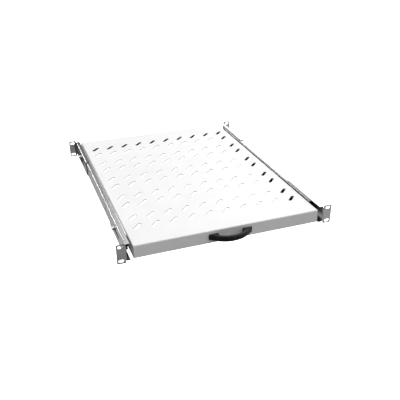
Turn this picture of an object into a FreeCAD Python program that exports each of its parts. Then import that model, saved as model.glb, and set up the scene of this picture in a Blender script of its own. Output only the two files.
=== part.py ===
# Sliding rack shelf: a vented tray on two three-part ball slides, carried by four eared brackets.
# Millimetres. X to the right, Y to the rear, Z up. Origin: middle of the four front ear slots.
import FreeCAD
import Part
import math
import os

V = FreeCAD.Vector
RIGHT = V(1, 0, 0)
REAR = V(0, 1, 0)
UP = V(0, 0, 1)

# Rack standard
rack_width = 482.6
hole_edge = 8.75
hole_pitch_z = 31.75
ear_height = 44.0

# Tray; its width fills what the ears, brackets and slides leave of the rack width
tray_length = 575.0
tray_top = 14.1
tray_height = 30.0
tray_sheet = 1.5
tray_bend = 0.8
tray_flange = 15.0
flange_mitre_gap = 1.0

# Vent slots
vent_columns = 10
vent_side_margin = 28.0
vent_groups = 5
vent_pair_pitch = 40.0
vent_front_margin = 70.0
vent_rear_margin = 65.0
vent_length = 26.0
vent_width = 6.5
vent_angle = 45.0
vent_end_sides = 4

# Brackets
bracket_sheet = 1.5
bracket_bend = 1.0
bracket_length = 150.0
bracket_flange = 9.2
bracket_room = 0.2
ear_width = 19.1
ear_corner = 3.0
ear_slot_length = 12.0
ear_slot_width = 7.0
ear_neck_height = 33.0
arm_start = 3.0
adjust_slot_length = 47.0
adjust_slot_width = 5.5
adjust_slot_middle = 84.0
front_stud_inset = 65.0
rear_stud_inset = 40.0
rear_ear_inset = 2.5

# Slide members
slide_front = 39.0
slide_rear_inset = 28.0
slide_height = 35.0
slide_depth = 12.7
outer_sheet = 1.2
outer_bend = 0.8
outer_lip_gap = 1.0
outer_lip_drop = 0.3
middle_sheet = 1.0
middle_end_gap = 2.0
middle_front_step = 4.0
race_depth = 0.4
race_floor = 1.8
race_slope = 0.7
race_bend = 0.4
inner_sheet = 1.2
inner_bend = 0.8
inner_rise = 1.6
inner_shelf = 2.1
inner_slope = 1.1
inner_fold = 0.4

# Balls and cages
outer_ball = 3.3
inner_ball = 3.0
ball_room = 0.3
ball_sides = 8
balls_per_row = 3
pocket_room = 0.25
cage_share = 0.35
cage_end = 18.0
outer_cage_sheet = 0.6
outer_cage_room = 0.5
inner_cage_sheet = 0.5
inner_cage_room = 0.4
cage_finger = 1.0

# Spare mounting hole in the outer web
rail_hole = 5.0
rail_hole_inset = 158.0

# Clinch studs and nuts
stud_diameter = 5.0
stud_reach = 6.0
nut_across_flats = 8.0
nut_height = 4.5
fit_room = 0.05

# Closing bumper
bumper_length = 8.0
bumper_inset = 1.0
bumper_corner = 2.2
stop_gap = 0.5

# Handle
handle_length = 97.0
handle_height = 12.4
handle_reach = 23.4
handle_edge = 1.0
grip_thickness = 6.6
foot_length = 21.0
foot_nose = 11.0
foot_nose_depth = 10.4
foot_tip = 1.8

# Widths, from the rack inwards
hole_pitch_x = rack_width - 2 * hole_edge
web_outside = rack_width / 2 - ear_width
slide_outside = web_outside - bracket_sheet
tray_half = slide_outside - slide_depth
tray_width = 2 * tray_half
vent_column_pitch = (tray_width - 2 * vent_side_margin) / (vent_columns - 1)

# Lengths, from the tray's
rack_depth = tray_length - rear_ear_inset
slide_rear = tray_length - slide_rear_inset
slide_length = slide_rear - slide_front
front_stud_y = slide_front + front_stud_inset
rear_stud_y = slide_rear - rear_stud_inset
bumper_rear = slide_rear - bumper_inset
bumper_front = bumper_rear - bumper_length
members_rear = bumper_front - stop_gap
cage_length = cage_share * slide_length
cage_front = slide_front + (slide_length - cage_length) / 2
ball_pitch = (cage_length - 2 * cage_end) / (balls_per_row - 1)
vent_rows_length = tray_length - vent_front_margin - vent_rear_margin
vent_group_pitch = (vent_rows_length - vent_pair_pitch) / (vent_groups - 1)

# Levels of the slide section: u runs outwards from the tray wall, z is counted from the middle
outer_race_z = slide_height / 2 - outer_sheet
outer_ball_z = outer_race_z - ball_room - outer_ball / 2
race_top_z = outer_ball_z - outer_ball / 2 - ball_room
middle_z = race_top_z + race_depth - middle_sheet / 2
middle_inside_z = middle_z - middle_sheet / 2
inner_ball_z = middle_inside_z - ball_room - inner_ball / 2
inner_low_z = inner_ball_z - inner_ball / 2 - ball_room - inner_sheet / 2
inner_high_z = inner_low_z + inner_rise
outer_web_u = slide_depth - outer_sheet
outer_ball_u = outer_lip_gap + outer_sheet + ball_room + outer_ball / 2
outer_cage_u = outer_web_u - outer_cage_room - outer_cage_sheet / 2
middle_web_u = outer_cage_u - outer_cage_sheet / 2 - outer_cage_room - middle_sheet / 2
middle_inside_u = middle_web_u - middle_sheet / 2
inner_ball_u = middle_inside_u - ball_room - inner_ball / 2
inner_cage_u = middle_inside_u - inner_cage_room - inner_cage_sheet / 2
inner_end_u = inner_cage_u - inner_cage_sheet / 2 - inner_cage_room


def section_point(u, z):
    """Point of the right-hand slide section, u outwards from the tray wall."""
    return V(tray_half + u, 0, z)


def plan_point(x, y):
    """Point of a section drawn in plan."""
    return V(x, y, 0)


def unit(a, b):
    """Direction from a to b in the plane."""
    length = math.hypot(b[0] - a[0], b[1] - a[1])
    return ((b[0] - a[0]) / length, (b[1] - a[1]) / length)


def sheet_side(path, offset, thickness, place):
    """Edges of one face of a bent sheet; each path point is (a, b, inside bend radius or None if sharp)."""
    ways = [unit(path[i], path[i + 1]) for i in range(len(path) - 1)]
    edges = []
    start = place(path[0][0] - ways[0][1] * offset, path[0][1] + ways[0][0] * offset)
    for i in range(1, len(path) - 1):
        before, after = ways[i - 1], ways[i]
        turn = before[0] * after[1] - before[1] * after[0]
        cosine = before[0] * after[0] + before[1] * after[1]
        spread = offset / (1 + cosine)
        corner_a = path[i][0] - (before[1] + after[1]) * spread
        corner_b = path[i][1] + (before[0] + after[0]) * spread
        if path[i][2] is None:
            corner = place(corner_a, corner_b)
            edges.append(Part.makeLine(start, corner))
            start = corner
            continue
        inside = turn * offset > 0
        radius = path[i][2] if inside else path[i][2] + thickness
        half_turn = math.atan2(abs(turn), cosine) / 2
        back = radius * math.tan(half_turn)
        bisector = unit(before, after)
        to_arc = radius / math.cos(half_turn) - radius
        enter = place(corner_a - before[0] * back, corner_b - before[1] * back)
        middle = place(corner_a + bisector[0] * to_arc, corner_b + bisector[1] * to_arc)
        leave = place(corner_a + after[0] * back, corner_b + after[1] * back)
        edges.append(Part.makeLine(start, enter))
        edges.append(Part.Arc(enter, middle, leave).toShape())
        start = leave
    end = place(path[-1][0] - ways[-1][1] * offset, path[-1][1] + ways[-1][0] * offset)
    edges.append(Part.makeLine(start, end))
    return edges


def bent_sheet(path, thickness, place, start, depth):
    """Sheet of even thickness along a bent centreline, pulled out of its section plane."""
    left = sheet_side(path, thickness / 2, thickness, place)
    right = sheet_side(path, -thickness / 2, thickness, place)
    caps = [
        Part.makeLine(left[-1].Vertexes[-1].Point, right[-1].Vertexes[-1].Point),
        Part.makeLine(left[0].Vertexes[0].Point, right[0].Vertexes[0].Point),
    ]
    wire = Part.Wire(Part.__sortEdges__(left + right + caps))
    sheet = Part.Face(wire).extrude(depth)
    sheet.translate(start)
    return sheet


def both_halves(upper):
    """A whole section path from its upper half, mirrored below the middle plane."""
    return upper + [(u, -z, bend) for u, z, bend in reversed(upper)]


def channel(upper, thickness, front, length):
    """Slide or bracket channel that runs along Y."""
    return bent_sheet(both_halves(upper), thickness, section_point, REAR * front, REAR * length)


def obround(middle, along, through, length, width, depth):
    """Straight slot cutter with round ends, centred on its middle point."""
    side = through.cross(along) * (width / 2)
    half = along * ((length - width) / 2)
    tip = along * (length / 2)
    base = middle - through * (depth / 2)
    edges = [
        Part.makeLine(base - half + side, base + half + side),
        Part.Arc(base + half + side, base + tip, base + half - side).toShape(),
        Part.makeLine(base + half - side, base - half - side),
        Part.Arc(base - half - side, base - tip, base - half + side).toShape(),
    ]
    return Part.Face(Part.Wire(edges)).extrude(through * depth)


def box_between(low, high):
    """Box from its lowest and highest corners."""
    size = high - low
    return Part.makeBox(size.x, size.y, size.z, low)


def folded_box(low, high, radius):
    """Box with its level edges rounded as bends and its upright corners sharp."""
    box = box_between(low, high)
    level_edges = [edge for edge in box.Edges if edge.BoundBox.ZLength < radius]
    return box.makeFillet(radius, level_edges)


def polygon_points(middle, first, second, radius, sides):
    """Corners of a regular polygon in the plane of two directions."""
    angles = [2 * math.pi * i / sides for i in range(sides)]
    return [middle + first * (radius * math.cos(a)) + second * (radius * math.sin(a)) for a in angles]


def closed_wire(points):
    """Closed polygon through the points."""
    return Part.makePolygon(points + points[:1])


def rod(diameter, start, direction, length):
    """Round bar from a start point."""
    return Part.makeCylinder(diameter / 2, length, start, direction)


def mirrored(shape):
    """Left-hand copy of a right-hand shape."""
    return shape.mirror(V(0, 0, 0), RIGHT)


def vent_slot():
    """One slanted vent cutter at the origin, its round ends kept to a few sides."""
    radius = vent_width / 2
    half = (vent_length - vent_width) / 2
    outline = []
    for end in (0, 1):
        for i in range(vent_end_sides + 1):
            angle = math.pi * (end + i / vent_end_sides) - math.pi / 2
            shift = half if end == 0 else -half
            outline.append(V(shift + radius * math.cos(angle), radius * math.sin(angle), -2 * tray_sheet))
    cutter = Part.Face(closed_wire(outline)).extrude(UP * (4 * tray_sheet))
    cutter.rotate(V(0, 0, 0), UP, vent_angle)
    return cutter


def vent_slots():
    """All vent slot cutters, in pairs of rows."""
    cutters = []
    for group in range(vent_groups):
        for row in range(2):
            y = vent_front_margin + group * vent_group_pitch + row * vent_pair_pitch
            for column in range(vent_columns):
                x = (column - (vent_columns - 1) / 2) * vent_column_pitch
                cutters.append(vent_slot().translated(V(x, y, tray_top)))
    return cutters


def flange_mitres(bend):
    """Slits that part the return flanges at the tray's corners."""
    floor = tray_top - tray_height
    start = math.sqrt(2) * bend + flange_mitre_gap
    end = math.sqrt(2) * tray_flange + flange_mitre_gap
    side = flange_mitre_gap / 2
    cutters = []
    for x, turn in ((-tray_half, 45), (tray_half, 135)):
        for y, way in ((0, 1), (tray_length, -1)):
            slit = box_between(V(start, -side, 0), V(end, side, tray_sheet))
            slit.rotate(V(0, 0, 0), UP, way * turn)
            cutters.append(slit.translated(V(x, y, floor)))
    return cutters


def shelf_tray():
    """Folded tray with vents in its top and return flanges under its walls."""
    low = V(-tray_half, 0, tray_top - tray_height)
    high = V(tray_half, tray_length, tray_top)
    sheet = V(tray_sheet, tray_sheet, tray_sheet)
    bend = tray_bend + tray_sheet
    skin = folded_box(low, high, bend)
    hollow = box_between(low + sheet, high - sheet)
    inset = V(tray_flange, tray_flange, 0)
    opening = box_between(low + inset, V(high.x, high.y, low.z + tray_sheet) - inset)
    cutters = [hollow, opening] + flange_mitres(bend) + vent_slots()
    return skin.cut(Part.makeCompound(cutters))


def bracket():
    """Right-hand front bracket: slotted ear, short neck and a channel arm round the slide."""
    web_u = slide_depth + bracket_sheet / 2
    flange_z = slide_height / 2 + bracket_room + bracket_sheet / 2
    flange_u = slide_depth + bracket_sheet - bracket_flange
    upper = [(flange_u, flange_z, None), (web_u, flange_z, bracket_bend)]
    arm = channel(upper, bracket_sheet, arm_start, bracket_length - arm_start)
    web_x = tray_half + web_u
    ear_y = bracket_sheet / 2
    ear_root = web_outside + bracket_bend
    neck_end = ear_root + ear_corner
    neck_path = [(web_x, arm_start, None), (web_x, ear_y, bracket_bend), (neck_end, ear_y, None)]
    neck_rise = UP * ear_neck_height
    neck = bent_sheet(neck_path, bracket_sheet, plan_point, neck_rise * (-1 / 2), neck_rise)
    ear = Part.makeBox(
        rack_width / 2 - ear_root, bracket_sheet, ear_height, V(ear_root, 0, -ear_height / 2)
    )
    outer_edges = [
        edge for edge in ear.Edges
        if abs(edge.CenterOfMass.x - rack_width / 2) < fit_room and edge.Length < 2 * bracket_sheet
    ]
    ear = ear.makeFillet(ear_corner, outer_edges)
    plate = arm.fuse([neck, ear]).removeSplitter()
    cutters = [
        obround(V(hole_pitch_x / 2, ear_y, side * hole_pitch_z / 2), RIGHT, REAR,
                ear_slot_length, ear_slot_width, 4 * bracket_sheet)
        for side in (-1, 1)
    ]
    cutters.append(obround(V(web_x, adjust_slot_middle, 0), REAR, RIGHT,
                           adjust_slot_length, adjust_slot_width, 4 * bracket_sheet))
    return plate.cut(Part.makeCompound(cutters))


def turned_to_rear(shape):
    """Copy of a front bracket with its ear at the rear of the rack."""
    rear = shape.mirror(V(0, 0, 0), REAR)
    rear.translate(REAR * rack_depth)
    return rear


def slide_outer():
    """Fixed member: deep channel whose lips curl round the outer balls, with two clinch studs."""
    lip_u = outer_lip_gap + outer_sheet / 2
    flange_z = slide_height / 2 - outer_sheet / 2
    web_u = slide_depth - outer_sheet / 2
    upper = [
        (lip_u, outer_ball_z - outer_lip_drop, None),
        (lip_u, flange_z, ball_room + outer_ball / 2),
        (web_u, flange_z, outer_bend),
    ]
    member = channel(upper, outer_sheet, slide_front, slide_length)
    web = tray_half + web_u
    hole_start = V(web - outer_sheet, slide_front + rail_hole_inset, 0)
    hole = rod(rail_hole, hole_start, RIGHT, 2 * outer_sheet)
    stud_length = web_outside + stud_reach - web
    studs = [rod(stud_diameter, V(web, y, 0), RIGHT, stud_length) for y in (front_stud_y, rear_stud_y)]
    return member.cut(hole).fuse(studs)


def slide_middle():
    """Middle member: channel with a raceway rolled into each flange."""
    half_floor = race_floor / 2
    upper = [
        (middle_end_gap, middle_z, None),
        (outer_ball_u - half_floor - race_slope, middle_z, race_bend),
        (outer_ball_u - half_floor, middle_z - race_depth, race_bend),
        (outer_ball_u + half_floor, middle_z - race_depth, race_bend),
        (outer_ball_u + half_floor + race_slope, middle_z, race_bend),
        (middle_web_u, middle_z, ball_room + inner_ball / 2),
    ]
    front = slide_front + middle_front_step
    return channel(upper, middle_sheet, front, members_rear - front)


def slide_inner():
    """Inner member: stepped channel fixed to the tray wall."""
    fold_u = inner_end_u - inner_shelf
    upper = [
        (inner_end_u, inner_low_z, None),
        (fold_u, inner_low_z, inner_fold),
        (fold_u - inner_slope, inner_high_z, inner_fold),
        (inner_sheet / 2, inner_high_z, inner_bend),
    ]
    return channel(upper, inner_sheet, slide_front, members_rear - slide_front)


def ball_places(u, z):
    """Ball centres of the upper and lower row of one cage."""
    rows = [cage_front + cage_end + i * ball_pitch for i in range(balls_per_row)]
    return [section_point(u, side * z) + REAR * y for side in (-1, 1) for y in rows]


def ball(place, diameter):
    """One ball in flat facets, pole to pole through three rings."""
    radius = diameter / 2
    rings = []
    for latitude in (-math.pi / 4, 0, math.pi / 4):
        middle = place + UP * (radius * math.sin(latitude))
        rings.append(polygon_points(middle, RIGHT, REAR, radius * math.cos(latitude), ball_sides))
    bottom = place - UP * radius
    top = place + UP * radius
    facets = []
    for i in range(ball_sides):
        near = [ring[i - 1] for ring in rings]
        far = [ring[i] for ring in rings]
        facets.append([bottom, near[0], far[0]])
        facets.append([near[0], near[1], far[1], far[0]])
        facets.append([near[1], near[2], far[2], far[1]])
        facets.append([near[2], top, far[2]])
    return Part.makeSolid(Part.makeShell([Part.Face(closed_wire(facet)) for facet in facets]))


def balls(u, z, diameter):
    """Both ball rows of one cage."""
    return Part.makeCompound([ball(place, diameter) for place in ball_places(u, z)])


def ball_cage(u, z, diameter, web_u, thickness):
    """Sheet retainer with fingers between the balls."""
    upper = [(u - cage_finger, z, None), (web_u, z, None)]
    cage = channel(upper, thickness, cage_front, cage_length)
    radius = diameter / 2 + pocket_room
    pockets = []
    for place in ball_places(u, z):
        ring = polygon_points(place - UP * radius, RIGHT, REAR, radius, ball_sides)
        pockets.append(Part.Face(closed_wire(ring)).extrude(UP * (2 * radius)))
    return cage.cut(Part.makeCompound(pockets))


def nut(y):
    """Hexagon nut on a stud, clamped on the bracket web."""
    start = V(web_outside, y, 0)
    outline = polygon_points(start, REAR, UP, nut_across_flats / math.sqrt(3), 6)
    prism = Part.Face(closed_wire(outline)).extrude(RIGHT * nut_height)
    return prism.cut(rod(stud_diameter + 2 * fit_room, start, RIGHT, nut_height))


def bumper():
    """Rubber plug pressed into the rear end of the outer member, behind its lips."""
    low = outer_lip_gap + outer_sheet + fit_room
    high = outer_web_u
    half = outer_race_z - fit_room
    upper = [
        (low, half - bumper_corner),
        (low + bumper_corner, half),
        (high - bumper_corner, half),
        (high, half - bumper_corner),
    ]
    corners = upper + [(u, -z) for u, z in reversed(upper)]
    outline = closed_wire([section_point(u, z) + REAR * bumper_front for u, z in corners])
    return Part.Face(outline).extrude(REAR * bumper_length)


def handle_outline():
    """Plan of the handle: a bow in front that runs on into the noses of its feet, and a finger gap behind."""
    end = handle_length / 2
    root = end - foot_length
    nose = end - foot_nose
    rise = handle_reach - foot_nose_depth
    radius = (nose ** 2 + rise ** 2) / (2 * rise)
    centre_y = radius - handle_reach
    gap_radius = radius - grip_thickness
    gap_y = centre_y - math.sqrt(gap_radius ** 2 - root ** 2)
    right = [V(root, gap_y, 0), V(root, 0, 0), V(end, 0, 0), V(end, -foot_tip, 0), V(nose, -foot_nose_depth, 0)]
    left = [V(-point.x, point.y, 0) for point in reversed(right)]
    front = Part.Arc(right[-1], V(0, -handle_reach, 0), left[0]).toShape()
    gap = Part.Arc(left[-1], V(0, grip_thickness - handle_reach, 0), right[0]).toShape()
    sides = [Part.makeLine(a, b) for foot in (right, left) for a, b in zip(foot, foot[1:])]
    return Part.Wire(Part.__sortEdges__(sides + [front, gap]))


def handle():
    """Bow handle, bevelled on every edge that stands off the front wall."""
    bar = Part.Face(handle_outline()).extrude(UP * handle_height)
    bar.translate(UP * (-handle_height / 2))
    free_edges = [
        edge for edge in bar.Edges
        if edge.BoundBox.ZLength < handle_edge and edge.CenterOfMass.y < -fit_room
    ]
    return bar.makeChamfer(handle_edge, free_edges)


def pieces():
    """Every node of the assembly by name."""
    front = bracket()
    rear = turned_to_rear(front)
    pairs = {
        "bracket_front": front,
        "bracket_rear": rear,
        "slide_outer": slide_outer(),
        "slide_middle": slide_middle(),
        "slide_inner": slide_inner(),
        "ball_cage_outer": ball_cage(outer_ball_u, outer_ball_z, outer_ball, outer_cage_u, outer_cage_sheet),
        "balls_outer": balls(outer_ball_u, outer_ball_z, outer_ball),
        "ball_cage_inner": ball_cage(inner_ball_u, inner_ball_z, inner_ball, inner_cage_u, inner_cage_sheet),
        "balls_inner": balls(inner_ball_u, inner_ball_z, inner_ball),
        "closing_bumper": bumper(),
        "bracket_nut_front": nut(front_stud_y),
        "bracket_nut_rear": nut(rear_stud_y),
    }
    nodes = {"shelf_tray": shelf_tray(), "handle": handle()}
    for name, shape in pairs.items():
        nodes[name + "_right"] = shape
        nodes[name + "_left"] = mirrored(shape)
    return nodes


os.makedirs("parts", exist_ok=True)
for name, shape in pieces().items():
    shape.exportStep("parts/" + name + ".step")
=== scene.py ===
"""Sliding rack shelf: finishes, fasteners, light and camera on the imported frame."""
import math

import bmesh
import bpy
from mathutils import Matrix, Vector


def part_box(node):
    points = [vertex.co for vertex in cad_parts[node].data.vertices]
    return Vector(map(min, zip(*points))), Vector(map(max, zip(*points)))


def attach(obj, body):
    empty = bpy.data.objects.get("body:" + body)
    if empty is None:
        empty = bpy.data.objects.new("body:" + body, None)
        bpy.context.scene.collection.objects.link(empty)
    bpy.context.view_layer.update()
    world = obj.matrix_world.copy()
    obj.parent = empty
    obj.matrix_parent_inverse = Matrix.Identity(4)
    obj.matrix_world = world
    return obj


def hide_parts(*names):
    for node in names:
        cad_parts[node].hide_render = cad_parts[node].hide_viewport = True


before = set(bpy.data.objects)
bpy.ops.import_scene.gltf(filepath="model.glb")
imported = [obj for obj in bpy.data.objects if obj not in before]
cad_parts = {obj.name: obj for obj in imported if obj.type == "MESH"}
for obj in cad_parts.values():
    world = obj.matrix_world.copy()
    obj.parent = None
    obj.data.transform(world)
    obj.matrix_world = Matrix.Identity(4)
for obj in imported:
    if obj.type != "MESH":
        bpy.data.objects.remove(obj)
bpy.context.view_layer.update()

MM = 0.001
SIDES = {"left": -1, "right": 1}

# Camera, at the photograph's viewing angle
CAMERA_PLACE = (-0.41028, -0.91408, 0.60353)
CAMERA_TILT = math.radians(62.245)
CAMERA_TURN = math.radians(-20.545)
CAMERA_LENS = 50.45
CAMERA_SENSOR = 36.0
CAMERA_REACH = 200.0

# Stage: a glowing floor that sweeps up into a wall all round
FLOOR_LEVEL = -1.0
FLOOR_RADIUS = 14.0
FLOOR_HUB_RADIUS = 0.01
SWEEP_RADIUS = 5.0
SWEEP_STEPS = 12
WALL_HEIGHT = 15.0
STAGE_SIDES = 96
STAGE_MOTTLE_SCALE = 0.2

# Light: a sky that is bright on one side, and softboxes aimed at the middle of the shelf
LIGHT_AIM = Vector((0, 0.28, 0))
SKY_AXIS = (0.7, 0.0, 0.7)
SKY_FADE = (0.385, 0.52)
SKY_STRENGTH = (0.03, 1.3)
SOFTBOXES = {
    "top_softbox": {
        "towards": (-0.05, 0.1, 1.0), "distance": 2.2, "size": (1.8, 1.8), "radiance": 1.9},
    "right_softbox": {
        "towards": (0.59, 0.70, 0.41), "distance": 3.0, "size": (1.6, 1.6), "radiance": 2.0},
    "front_fill": {
        "towards": (0.3, -0.88, 0.35), "distance": 3.0, "size": (2.4, 2.4), "radiance": 0.12},
    "low_fill": {
        "towards": (0.40, -0.84, -0.34), "distance": 1.9, "size": (1.8, 0.9), "radiance": 0.48},
    "rear_low_fill": {
        "towards": (-0.265, 0.728, -0.652), "distance": 1.5, "size": (1.1, 1.07), "radiance": 0.49},
    "edge_strip": {
        "towards": (-0.50, 0.84, 0.21), "distance": 3.1, "size": (1.3, 0.6), "radiance": 9.0},
    "left_fill": {
        "towards": (-0.95, -0.05, -0.30), "distance": 2.4, "size": (5.0, 1.7), "radiance": 0.42},
    "front_left_fill": {
        "towards": (-0.62, -0.72, -0.30), "distance": 2.4, "size": (2.0, 1.0), "radiance": 0.42},
    "right_low_fill": {
        "towards": (0.81, 0.17, -0.545), "distance": 2.0, "size": (1.4, 1.2), "radiance": 0.6},
}

# Meshes of fasteners and balls
SHARP_ANGLE = math.radians(35)
FASTENER_COLUMNS = 48
NUT_CHAMFER_SLOPE = math.tan(math.radians(30))
NUT_FACE_SHARE = 0.95
WASHER_THICKNESS = 1.0 * MM
WASHER_RADIUS = 5.0 * MM
WASHER_EASE_SHARE = 0.25
STUD_RADIUS = 2.5 * MM
STUD_TIP_SHARE = 0.8
THREAD_PITCH = 0.8 * MM
THREAD_DEPTH = 0.12 * MM
THREAD_ROOT_SHARE = 0.2
THREAD_ROWS_PER_PITCH = 4
SCREW_RADIUS = 3.6 * MM
SCREW_HEIGHT = 2.2 * MM
SCREW_SINK = 0.2 * MM
SCREW_TOP_SHARE = 0.55
SCREW_SIDE_SHARE = 0.35
SCREW_DOME_STEPS = 6
CROSS_HALF_ANGLE = math.radians(20)
CROSS_ARM_SHARE = 0.5
CROSS_CORE_SHARE = 0.16
CROSS_TAPER = 0.8
CROSS_FLOOR_SHARE = 0.4
TRAY_SHEET = 1.5 * MM
TRAY_SCREW_SHARES = (0.08, 0.5, 0.92)
HANDLE_SCREW_SHARE = 0.78
BALLS_PER_ROW = 3
BALL_SUBDIVISIONS = 3

# What the finishes share; a pair holds the values where an effect starts and where it is complete
BEVEL_SAMPLES = 6
OPENNESS_SAMPLES = 8
NOISE_ROUGHNESS = 0.55
NOISE_MIDDLE = (0.3, 0.7)
EDGE_COSINES = (0.99, 0.7)
OPEN_FACE = (0.8, 1.0)
TOP_FACE = (0.4, 0.8)

# Painted shade on the upright cut edges, found by how little sheet lies behind a face
CUT_REACH = 1.2 * MM
BACKED_FACE = (0.76, 0.9)
BACKED_RIM = (0.6, 0.74)
LEVEL_FACE = (0.2, 0.5)

# Powder coat
COAT_IOR = 1.48
COAT_GLOSS = 0.5
COAT_MOTTLE_SHADE = 0.96
COAT_ROUGH_SHARES = (0.88, 1.12)

# Zinc
ZINC_ROLLING_STRETCH = (1.0, 0.012, 1.0)
ZINC_STREAK_SHADE = 0.82
ZINC_BLOTCH_SHADE = 0.7
ZINC_ROUGH_SHARES = (0.85, 1.25)
# Colour of the painted shade in the gaps between parts
GAP_SHADE_LEVEL = 0.01


def link(piece):
    """Puts a new object into the scene."""
    bpy.context.scene.collection.objects.link(piece)
    return piece


def mesh_piece(name, mesh_data, material):
    """New smooth-shaded mesh object from a bmesh, which is freed."""
    mesh = bpy.data.meshes.new(name)
    mesh_data.normal_update()
    mesh_data.to_mesh(mesh)
    mesh_data.free()
    mesh.materials.append(material)
    mesh.shade_smooth()
    mesh.set_sharp_from_angle(angle=SHARP_ANGLE)
    return link(bpy.data.objects.new(name, mesh))


def bridge(mesh_data, first, second):
    """Quads between two closed rings of as many vertices."""
    count = len(first)
    for i in range(count):
        j = (i + 1) % count
        mesh_data.faces.new((first[i], first[j], second[j], second[i]))


def turns(count):
    """Angles of the columns of a closed ring."""
    return [2 * math.pi * i / count for i in range(count)]


def ring(mesh_data, radii, heights):
    """Closed ring about Z; a radius and a height for each column."""
    vertices = []
    for angle, radius, height in zip(turns(len(radii)), radii, heights):
        place = (radius * math.cos(angle), radius * math.sin(angle), height)
        vertices.append(mesh_data.verts.new(place))
    return vertices


def level_ring(mesh_data, radii, height):
    """Closed ring about Z with all its columns at one height."""
    return ring(mesh_data, radii, [height] * len(radii))


def lathe(mesh_data, profile, columns):
    """Open surface of revolution about Z through (radius, height) points; gives its rings."""
    rings = [level_ring(mesh_data, [radius] * columns, height) for radius, height in profile]
    for low, high in zip(rings, rings[1:]):
        bridge(mesh_data, low, high)
    return rings


class NodeTree:
    """Node tree under construction."""

    def __init__(self, tree):
        self.tree = tree

    def add(self, kind, inputs=None, **settings):
        """New node with its settings, and with inputs set or linked by name or number."""
        made = self.tree.nodes.new(kind)
        for key, value in settings.items():
            setattr(made, key, value)
        for key, value in (inputs or {}).items():
            self.feed(made.inputs[key], value)
        return made

    def feed(self, socket, value):
        """Sets a socket to a constant, or links it to an output."""
        if isinstance(value, bpy.types.NodeSocket):
            self.tree.links.new(value, socket)
        else:
            socket.default_value = value

    def compute(self, operation, *values):
        """Result of a mathematical operation."""
        made = self.add("ShaderNodeMath", dict(enumerate(values)), operation=operation)
        return made.outputs["Value"]

    def dot(self, first, second):
        """Dot product of two vectors."""
        made = self.add("ShaderNodeVectorMath", {0: first, 1: second}, operation="DOT_PRODUCT")
        return made.outputs["Value"]

    def remap(self, value, source, target=(0.0, 1.0), **settings):
        """Value taken from one range to another, and held at the ends of the second."""
        made = self.add("ShaderNodeMapRange", {
            "Value": value, "From Min": source[0], "From Max": source[1],
            "To Min": target[0], "To Max": target[1]}, **settings)
        return made.outputs["Result"]


class Finish(NodeTree):
    """Material under construction: one principled shader and its textures."""

    def __init__(self, name):
        self.material = bpy.data.materials.new(name)
        self.material.use_nodes = True
        super().__init__(self.material.node_tree)
        self.shader = self.tree.nodes["Principled BSDF"]
        self.place = self.add("ShaderNodeTexCoord").outputs["Object"]

    def surface(self, **values):
        """Sets or links the shader's own sockets; underscores stand for spaces."""
        for key, value in values.items():
            socket = key.replace("_", " ").title().replace("Ior", "IOR")
            self.feed(self.shader.inputs[socket], value)

    def noise(self, scale, detail=4.0, stretch=(1.0, 1.0, 1.0)):
        """Noise in object space, in features per metre."""
        mapped = self.add("ShaderNodeMapping", {"Vector": self.place, "Scale": stretch})
        made = self.add("ShaderNodeTexNoise", {
            "Vector": mapped.outputs["Vector"], "Scale": scale, "Detail": detail,
            "Roughness": NOISE_ROUGHNESS})
        return made.outputs["Fac"]

    def ramp(self, noise, low, high):
        """Goes from one colour to another over the middle of a noise."""
        made = self.add("ShaderNodeValToRGB", {"Fac": noise})
        for i, colour in enumerate((low, high)):
            stop = made.color_ramp.elements[i]
            stop.position = NOISE_MIDDLE[i]
            stop.color = colour
        return made.outputs["Color"]

    def spread(self, noise, low, high):
        """Goes from one value to another over the middle of a noise."""
        return self.remap(noise, NOISE_MIDDLE, (low, high))

    def rounded(self, radius):
        """Normal that turns smoothly over edges."""
        made = self.add("ShaderNodeBevel", {"Radius": radius}, samples=BEVEL_SAMPLES)
        return made.outputs["Normal"]

    def edges(self, radius):
        """About 0 on flat faces and rising to 1 on edges, from a rounded normal."""
        flat = self.add("ShaderNodeNewGeometry").outputs["Normal"]
        return self.remap(self.dot(self.rounded(radius), flat), EDGE_COSINES)

    def openness(self, distance, alone=True, inside=False):
        """1 on open faces, less in folds and, if not alone, near others; inside looks inwards."""
        made = self.add("ShaderNodeAmbientOcclusion", {"Distance": distance},
                        samples=OPENNESS_SAMPLES, only_local=alone, inside=inside)
        return made.outputs["AO"]

    def upward(self):
        """1 on faces that look up, 0 on walls and less on faces that look down."""
        normal = self.add("ShaderNodeNewGeometry").outputs["True Normal"]
        return self.add("ShaderNodeSeparateXYZ", {"Vector": normal}).outputs["Z"]

    def uncut(self, reach):
        """0 on the upright cut edges of a level sheet and on their rims, and 1 elsewhere."""
        backing = self.openness(reach, inside=True)
        level = self.compute("ABSOLUTE", self.upward())
        faces = self.compute(
            "MAXIMUM", self.remap(backing, BACKED_FACE), self.remap(level, LEVEL_FACE))
        return self.compute("MINIMUM", faces, self.remap(backing, BACKED_RIM))

    def mix(self, factor, first, second):
        """Colour mix by a factor."""
        made = self.add(
            "ShaderNodeMix", {"Factor": factor, "A": first, "B": second}, data_type="RGBA")
        return made.outputs["Result"]

    def bump(self, height, depth, strength, radius=0.0):
        """Bump from a height, on a rounded normal where a radius is given."""
        made = self.add("ShaderNodeBump", {
            "Height": height, "Distance": depth, "Strength": strength})
        if radius:
            self.feed(made.inputs["Normal"], self.rounded(radius))
        self.surface(normal=made.outputs["Normal"])


def grey(level, warmth=0.0):
    """Opaque grey with a slight warm or cool cast."""
    return (level * (1 + warmth), level, level * (1 - warmth), 1.0)


def scaled(value, shares):
    """Shares of a value."""
    return [value * share for share in shares]


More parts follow.
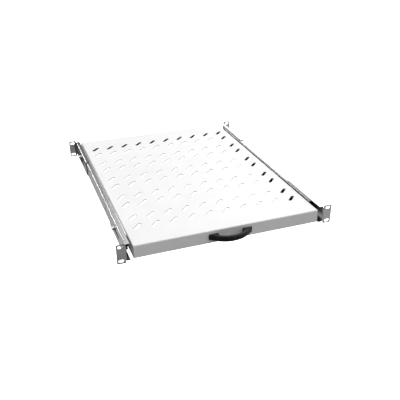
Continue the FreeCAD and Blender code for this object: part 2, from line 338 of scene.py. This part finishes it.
def powder_coat(name, level, edge_level, metallic, rough, fold_shade_reach, fold_shade_level, cut_edge_shade_level):
    """Powder coat: orange peel, faint mottling, rubbed edges, painted shade (darker, less glossy)
    in folds and painted shade on cut edges.
    """
    finish = Finish(name)
    base = finish.ramp(
        finish.noise(scale=14.0),
        grey(level * COAT_MOTTLE_SHADE, warmth=-0.006), grey(level, warmth=0.004))
    rubbing = finish.spread(finish.noise(scale=60.0), low=0.2, high=0.7)
    worn = finish.compute("MULTIPLY", finish.edges(radius=0.9 * MM), rubbing)
    colour = finish.mix(worn, base, grey(edge_level))
    # Painted shade: faces in folds, found by ambient occlusion, darken towards the fold colour and
    # lose gloss.
    fold_unshaded = finish.remap(finish.openness(fold_shade_reach), OPEN_FACE)
    colour = finish.mix(fold_unshaded, grey(fold_shade_level), colour)
    # Painted shade: the upright cut edges and their rims darken towards the cut edge colour.
    colour = finish.mix(finish.uncut(CUT_REACH), grey(cut_edge_shade_level), colour)
    peel = finish.noise(scale=750.0, detail=2.0)
    gloss = finish.compute("MULTIPLY", fold_unshaded, COAT_GLOSS)
    finish.surface(
        base_color=colour, metallic=metallic, ior=COAT_IOR, specular_ior_level=gloss)
    finish.surface(
        roughness=finish.spread(finish.noise(scale=220.0), *scaled(rough, COAT_ROUGH_SHARES)))
    finish.bump(peel, depth=0.05 * MM, strength=0.3, radius=0.2 * MM)
    return finish.material


def zinc(name, level, rough, streak_scale, metallic=1.0, gap_shade_reach=0.0):
    """Zinc-plated strip: streaks along the rolling, faint blotches, and painted shade in the gaps
    between parts.
    """
    finish = Finish(name)
    streaks = finish.noise(scale=streak_scale, detail=5.0, stretch=ZINC_ROLLING_STRETCH)
    blotches = finish.spread(finish.noise(scale=45.0), low=0.0, high=0.45)
    base = finish.ramp(
        streaks, grey(level * ZINC_STREAK_SHADE, warmth=-0.015), grey(level, warmth=-0.005))
    colour = finish.mix(blotches, base, grey(level * ZINC_BLOTCH_SHADE, warmth=-0.01))
    # Painted shade: faces near other parts darken almost to black, except faces that look up.
    if gap_shade_reach:
        open_faces = finish.remap(finish.openness(gap_shade_reach, alone=False), OPEN_FACE)
        gap_unshaded = finish.compute("MAXIMUM", open_faces, finish.remap(finish.upward(), TOP_FACE))
        colour = finish.mix(gap_unshaded, grey(GAP_SHADE_LEVEL), colour)
    finish.surface(base_color=colour, metallic=metallic)
    finish.surface(roughness=finish.spread(streaks, *scaled(rough, ZINC_ROUGH_SHARES)))
    finish.bump(streaks, depth=0.02 * MM, strength=0.2, radius=0.3 * MM)
    return finish.material


def moulded_plastic(name):
    """Black plastic with a fine eroded grain."""
    finish = Finish(name)
    grain = finish.noise(scale=1600.0, detail=3.0)
    finish.surface(
        base_color=finish.ramp(finish.noise(scale=30.0), grey(level=0.008), grey(level=0.014)),
        roughness=finish.spread(grain, low=0.4, high=0.6), specular_ior_level=0.25)
    finish.bump(grain, depth=0.06 * MM, strength=0.5)
    return finish.material


def rubber(name):
    """Dull black rubber."""
    finish = Finish(name)
    speck = finish.noise(scale=900.0)
    finish.surface(
        base_color=finish.ramp(speck, grey(level=0.012), grey(level=0.03)),
        roughness=finish.spread(speck, low=0.7, high=0.9))
    finish.bump(speck, depth=0.03 * MM, strength=0.3)
    return finish.material


def polished_steel(name):
    """Ground bearing steel with a trace of grease."""
    finish = Finish(name)
    film = finish.noise(scale=800.0)
    finish.surface(
        base_color=finish.ramp(film, grey(level=0.55), grey(level=0.68)), metallic=1.0,
        roughness=finish.spread(film, low=0.08, high=0.2))
    return finish.material


FINISHES = {
    "tray_paint": powder_coat(
        "tray_paint", level=0.80, edge_level=0.84, metallic=0.0, rough=0.46,
        fold_shade_reach=11.0 * MM, fold_shade_level=0.02, cut_edge_shade_level=0.02),
    "bracket_paint": powder_coat(
        "bracket_paint", level=0.6, edge_level=0.7, metallic=0.9, rough=0.24,
        fold_shade_reach=6.0 * MM, fold_shade_level=0.18, cut_edge_shade_level=0.08),
    "slide_zinc": zinc(
        "slide_zinc", level=0.68, rough=0.24, streak_scale=500.0, metallic=0.9,
        gap_shade_reach=8.0 * MM),
    "cage_steel": zinc("cage_steel", level=0.5, rough=0.4, streak_scale=700.0),
    "ball_steel": polished_steel("ball_steel"),
    "nut_zinc": zinc("nut_zinc", level=0.85, rough=0.3, streak_scale=900.0, metallic=0.6),
    "handle_plastic": moulded_plastic("handle_plastic"),
    "bumper_rubber": rubber("bumper_rubber"),
}
NODE_FINISHES = {
    "shelf_tray": "tray_paint",
    "handle": "handle_plastic",
    "bracket_front": "bracket_paint",
    "bracket_rear": "bracket_paint",
    "slide_outer": "slide_zinc",
    "slide_middle": "slide_zinc",
    "slide_inner": "slide_zinc",
    "ball_cage_outer": "cage_steel",
    "ball_cage_inner": "cage_steel",
    "balls_outer": "ball_steel",
    "balls_inner": "ball_steel",
    "bracket_nut_front": "nut_zinc",
    "bracket_nut_rear": "nut_zinc",
    "closing_bumper": "bumper_rubber",
}


def dress_nodes():
    """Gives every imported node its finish."""
    for name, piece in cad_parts.items():
        kind = name.removesuffix("_left").removesuffix("_right")
        piece.data.materials.clear()
        piece.data.materials.append(FINISHES[NODE_FINISHES[kind]])


def add_piece(piece, body):
    """Hangs a new piece on its body."""
    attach(piece, body)


def facing(direction):
    """Turn that takes Z to a direction."""
    return Vector((0, 0, 1)).rotation_difference(direction).to_matrix().to_4x4()


def nut_mesh(mesh_data, flats, low, high, bore):
    """Hexagon nut about Z with corners chamfered by a cone at both faces."""
    apothem = flats / 2
    sixth = math.pi / 3
    outline = []
    for angle in turns(FASTENER_COLUMNS):
        outline.append(apothem / math.cos(angle % sixth - sixth / 2))
    face_radius = apothem * NUT_FACE_SHARE
    drops = [(radius - face_radius) * NUT_CHAMFER_SLOPE for radius in outline]
    face = [face_radius] * FASTENER_COLUMNS
    hole = [bore] * FASTENER_COLUMNS
    rings = [
        level_ring(mesh_data, hole, low),
        level_ring(mesh_data, face, low),
        ring(mesh_data, outline, [low + drop for drop in drops]),
        ring(mesh_data, outline, [high - drop for drop in drops]),
        level_ring(mesh_data, face, high),
        level_ring(mesh_data, hole, high),
    ]
    for first, second in zip(rings, rings[1:] + rings[:1]):
        bridge(mesh_data, first, second)


def washer_mesh(mesh_data, low, high, bore):
    """Flat washer about Z with eased edges."""
    ease = (high - low) * WASHER_EASE_SHARE
    profile = [
        (bore, low), (WASHER_RADIUS - ease, low), (WASHER_RADIUS, low + ease),
        (WASHER_RADIUS, high - ease), (WASHER_RADIUS - ease, high), (bore, high),
    ]
    rings = lathe(mesh_data, profile, FASTENER_COLUMNS)
    bridge(mesh_data, rings[-1], rings[0])


def thread_mesh(mesh_data, low, high):
    """Helical thread skin on a stud end about Z, with a chamfered tip."""
    rows = round((high - low) / THREAD_PITCH * THREAD_ROWS_PER_PITCH)
    rings = []
    for row in range(rows + 1):
        height = low + (high - low) * row / rows
        radii = []
        for i in range(FASTENER_COLUMNS):
            phase = (height / THREAD_PITCH - i / FASTENER_COLUMNS) % 1
            ridge = 1 - abs(2 * phase - 1)
            share = THREAD_ROOT_SHARE + (1 - THREAD_ROOT_SHARE) * ridge
            radii.append(STUD_RADIUS + THREAD_DEPTH * share)
        rings.append(level_ring(mesh_data, radii, height))
    for first, second in zip(rings, rings[1:]):
        bridge(mesh_data, first, second)
    tip = level_ring(
        mesh_data, [STUD_RADIUS * STUD_TIP_SHARE] * FASTENER_COLUMNS, high + THREAD_DEPTH)
    bridge(mesh_data, rings[-1], tip)
    mesh_data.faces.new(tip)


def bracket_nuts():
    """Chamfered nut, washer and stud thread at each bracket slot."""
    for end in ("front", "rear"):
        for side, sign in SIDES.items():
            node = f"bracket_nut_{end}_{side}"
            low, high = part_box(node)
            seat = low.x if side == "right" else high.x
            base = Vector((seat, (low.y + high.y) / 2, (low.z + high.z) / 2))
            height = high.x - low.x
            slide_low, slide_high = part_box("slide_outer_" + side)
            tip = max(abs(slide_low.x), abs(slide_high.x)) - abs(base.x)
            mesh_data = bmesh.new()
            washer_mesh(mesh_data, 0, WASHER_THICKNESS, STUD_RADIUS)
            nut_mesh(mesh_data, high.z - low.z, WASHER_THICKNESS, height, STUD_RADIUS)
            thread_mesh(mesh_data, height - THREAD_PITCH, tip)
            piece = mesh_piece(node + "_set", mesh_data, FINISHES["nut_zinc"])
            piece.matrix_world = Matrix.Translation(base) @ facing(Vector((sign, 0, 0)))
            add_piece(piece, "frame")
            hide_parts(node)


def screw_mesh():
    """Pan head about Z with a cross recess."""
    mesh_data = bmesh.new()
    profile = [(SCREW_RADIUS, -SCREW_SINK)]
    for i in range(SCREW_DOME_STEPS + 1):
        angle = math.pi / 2 * i / SCREW_DOME_STEPS
        across = SCREW_TOP_SHARE + (1 - SCREW_TOP_SHARE) * math.cos(angle)
        up = SCREW_SIDE_SHARE + (1 - SCREW_SIDE_SHARE) * math.sin(angle)
        profile.append((SCREW_RADIUS * across, SCREW_HEIGHT * up))
    rings = lathe(mesh_data, profile, FASTENER_COLUMNS)
    mesh_data.faces.new(list(reversed(rings[0])))
    cross = []
    for angle in turns(FASTENER_COLUMNS):
        in_arm = max(abs(math.cos(angle)), abs(math.sin(angle))) > math.cos(CROSS_HALF_ANGLE)
        cross.append(SCREW_RADIUS * (CROSS_ARM_SHARE if in_arm else CROSS_CORE_SHARE))
    rim = level_ring(mesh_data, cross, SCREW_HEIGHT)
    bridge(mesh_data, rings[-1], rim)
    floor = level_ring(mesh_data, scaled(CROSS_TAPER, cross), SCREW_HEIGHT * CROSS_FLOOR_SHARE)
    bridge(mesh_data, rim, floor)
    mesh_data.faces.new(floor)
    return mesh_data


def screw(name, place, direction):
    """One screw head on a face of the tray."""
    piece = mesh_piece(name, screw_mesh(), FINISHES["nut_zinc"])
    piece.matrix_world = Matrix.Translation(place) @ facing(direction)
    add_piece(piece, "tray")


def tray_screws():
    """Heads inside the tray: three for each inner slide member and two for the handle."""
    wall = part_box("shelf_tray")[1].x - TRAY_SHEET
    for side, sign in SIDES.items():
        low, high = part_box("slide_inner_" + side)
        for i, share in enumerate(TRAY_SCREW_SHARES):
            y = low.y + share * (high.y - low.y)
            place = Vector((sign * wall, y, (low.z + high.z) / 2))
            screw(f"tray_screw_{side}_{i + 1}", place, Vector((-sign, 0, 0)))
    low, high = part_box("handle")
    for side, sign in SIDES.items():
        x = sign * high.x * HANDLE_SCREW_SHARE
        place = Vector((x, TRAY_SHEET, (low.z + high.z) / 2))
        screw(f"handle_screw_{side}", place, Vector((0, 1, 0)))


def bearing_balls():
    """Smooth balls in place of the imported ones."""
    for row in ("outer", "inner"):
        for side in SIDES:
            node = f"balls_{row}_{side}"
            low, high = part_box(node)
            radius = (high.x - low.x) / 2
            mesh_data = bmesh.new()
            for i in range(BALLS_PER_ROW):
                y = low.y + radius + i / (BALLS_PER_ROW - 1) * (high.y - low.y - 2 * radius)
                for z in (low.z + radius, high.z - radius):
                    place = Matrix.Translation(((low.x + high.x) / 2, y, z))
                    bmesh.ops.create_icosphere(
                        mesh_data, subdivisions=BALL_SUBDIVISIONS, radius=radius, matrix=place)
            piece = mesh_piece(node + "_smooth", mesh_data, FINISHES["ball_steel"])
            add_piece(piece, f"{row}_cage_{side}")
            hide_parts(node)


def stage():
    """Pale floor that sweeps up into a backdrop all round, and casts nothing on the object."""
    mesh_data = bmesh.new()
    profile = [(FLOOR_HUB_RADIUS, FLOOR_LEVEL), (FLOOR_RADIUS, FLOOR_LEVEL)]
    for i in range(1, SWEEP_STEPS + 1):
        angle = math.pi / 2 * i / SWEEP_STEPS
        rise = SWEEP_RADIUS * (1 - math.cos(angle))
        profile.append((FLOOR_RADIUS + SWEEP_RADIUS * math.sin(angle), FLOOR_LEVEL + rise))
    profile.append((FLOOR_RADIUS + SWEEP_RADIUS, FLOOR_LEVEL + WALL_HEIGHT))
    lathe(mesh_data, profile, STAGE_SIDES)
    finish = Finish("stage_white")
    mottle = finish.noise(scale=STAGE_MOTTLE_SCALE)
    finish.surface(
        base_color=finish.ramp(mottle, grey(level=0.9), grey(level=0.92)), roughness=0.9,
        emission_color=finish.ramp(mottle, grey(level=0.99), grey(level=1.0)),
        emission_strength=1.0)
    floor = mesh_piece("floor", mesh_data, finish.material)
    floor.visible_diffuse = False
    floor.visible_glossy = False
    floor.visible_shadow = False


def softbox(name, towards, distance, size, radiance):
    """Area light that faces the object, its width level; its power follows from its radiance."""
    data = bpy.data.lights.new(name, "AREA")
    data.shape = "RECTANGLE"
    data.size, data.size_y = size
    data.energy = radiance * math.pi * size[0] * size[1]
    lamp = link(bpy.data.objects.new(name, data))
    direction = Vector(towards).normalized()
    turn = direction.to_track_quat("Z", "Y").to_matrix().to_4x4()
    lamp.matrix_world = Matrix.Translation(LIGHT_AIM + direction * distance) @ turn
    lamp.visible_camera = False


def sky():
    """Dome of light that is bright above and to the right and dark to the left and below."""
    world = bpy.data.worlds.new("studio")
    bpy.context.scene.world = world
    world.use_nodes = True
    nodes = NodeTree(world.node_tree)
    direction = nodes.add("ShaderNodeTexCoord").outputs["Generated"]
    strength = nodes.remap(
        nodes.dot(direction, SKY_AXIS), SKY_FADE, SKY_STRENGTH, interpolation_type="SMOOTHSTEP")
    background = world.node_tree.nodes["Background"]
    nodes.feed(background.inputs["Strength"], strength)
    nodes.feed(background.inputs["Color"], grey(level=1.0))


def camera():
    """Camera at the photograph's viewing angle."""
    data = bpy.data.cameras.new("camera")
    data.lens = CAMERA_LENS
    data.sensor_width = CAMERA_SENSOR
    data.clip_end = CAMERA_REACH
    viewer = link(bpy.data.objects.new("camera", data))
    viewer.location = CAMERA_PLACE
    viewer.rotation_euler = (CAMERA_TILT, 0, CAMERA_TURN)
    bpy.context.scene.camera = viewer


dress_nodes()
bracket_nuts()
tray_screws()
bearing_balls()
stage()
sky()
for name, setting in SOFTBOXES.items():
    softbox(name, **setting)
camera()
bpy.context.scene.view_settings.view_transform = "Standard"
